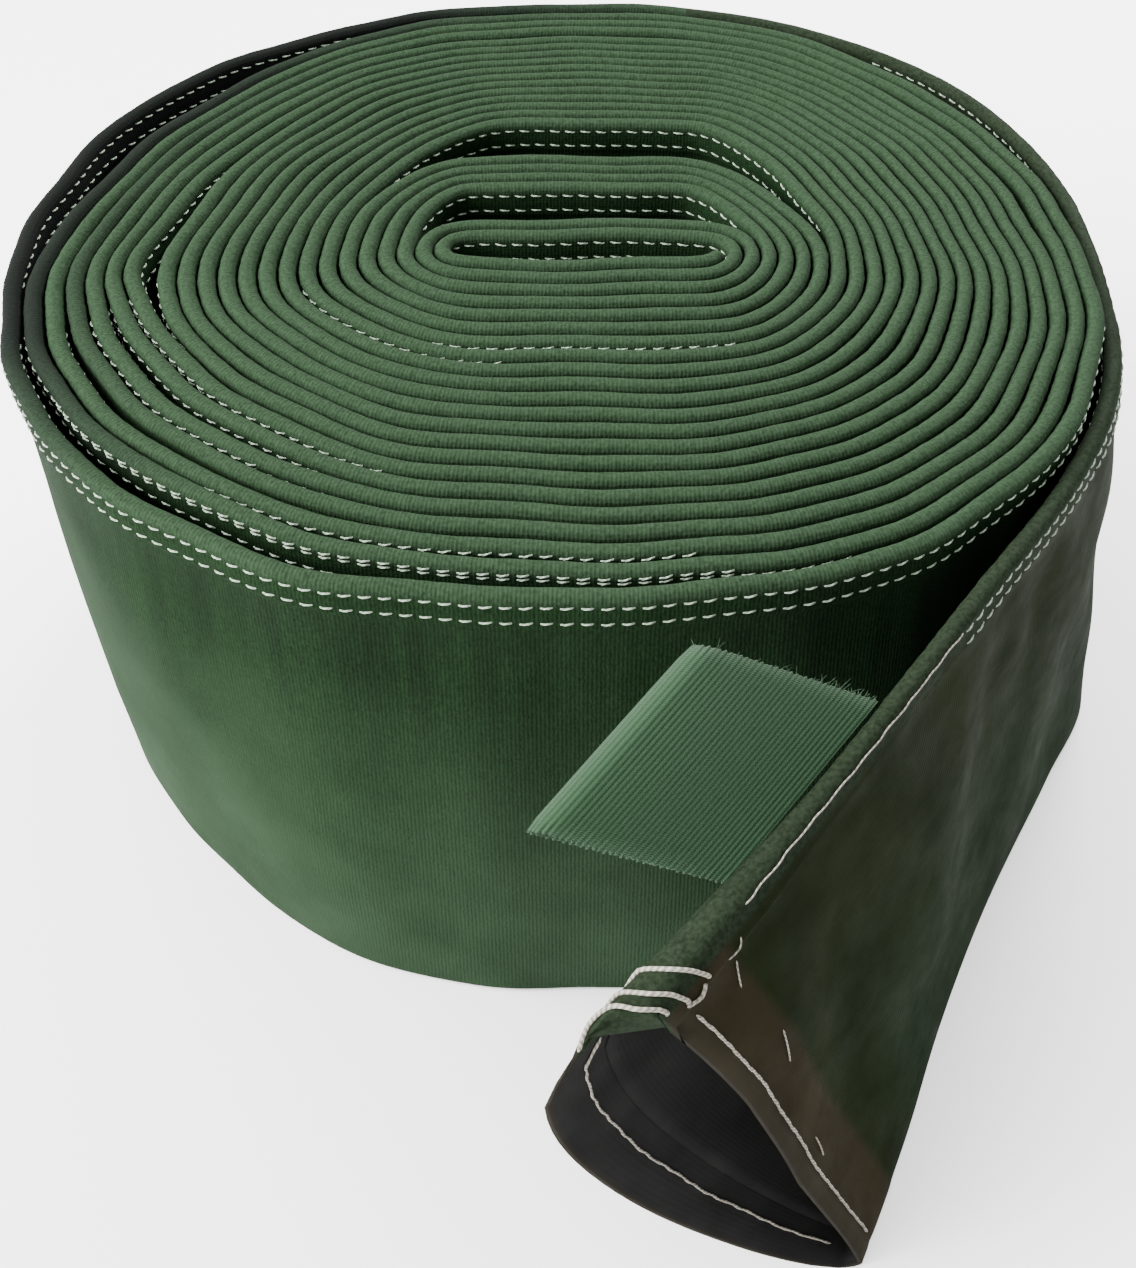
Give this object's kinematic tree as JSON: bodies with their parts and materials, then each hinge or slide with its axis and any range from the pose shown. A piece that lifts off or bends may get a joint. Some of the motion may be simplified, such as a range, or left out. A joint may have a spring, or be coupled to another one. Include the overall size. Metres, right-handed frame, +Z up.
{
  "type": "coiled canvas lay-flat hose",
  "caption": "Wide canvas lay-flat irrigation hose wound in a coil on its folded edge, with a sewn top seam, an open hemmed mouth and a webbing loop.",
  "frame": {"origin": "middle of the bounding box's footprint, on the ground that the hose stands on", "axes": "+Z up along the hose's flat width, +Y to the back, the open end comes forward to -Y and the tail leaves the coil at +X"},
  "size_m": [0.3542, 0.4007, 0.1725],
  "materials": {
    "canvas": "dark green coated canvas, fine plain weave, matt",
    "tail_canvas": "the same canvas in its own shade, dark olive, slightly shiny coating",
    "lining": "charcoal waterproof lining, matt",
    "thread": "pale twisted sewing thread",
    "hem_thread": "beige twisted sewing thread",
    "webbing": "green ribbed webbing"
  },
  "bodies": {
    "coil": {"hose_coil": "canvas", "seam_thread_upper_coil": "thread", "seam_thread_lower_coil": "thread"},
    "tail": {"hose_tail": "tail_canvas", "seam_thread_upper_tail": "thread", "seam_thread_lower_tail": "thread"},
    "mouth": {"hose_mouth": "tail_canvas", "mouth_lining": "lining", "seam_thread_upper_mouth": "thread", "seam_thread_lower_mouth": "thread", "hem_thread_right": "hem_thread", "hem_thread_left": "hem_thread", "bar_tack": "hem_thread", "loop_thread": "thread"},
    "loop": {"webbing_loop": "webbing"}
  },
  "joints": [
    {"name": "tail_peel", "type": "hinge", "parent": "coil", "child": "tail", "pos_m": [0.09764, 0.16251, 0], "axis": [0, 0, 1], "range_deg": [0, 60]},
    {"name": "tail_curl", "type": "hinge", "parent": "tail", "child": "mouth", "pos_m": [0.12001, -0.08628, 0], "axis": [-0.2408, -0.0872, 0.9666], "range_deg": [-5, 35]},
    {"name": "loop_flap", "type": "hinge", "parent": "mouth", "child": "loop", "pos_m": [0.04198, -0.14084, 0.14633], "axis": [-0.6515, -0.7135, -0.258], "range_deg": [-12, 35]}
  ]
}
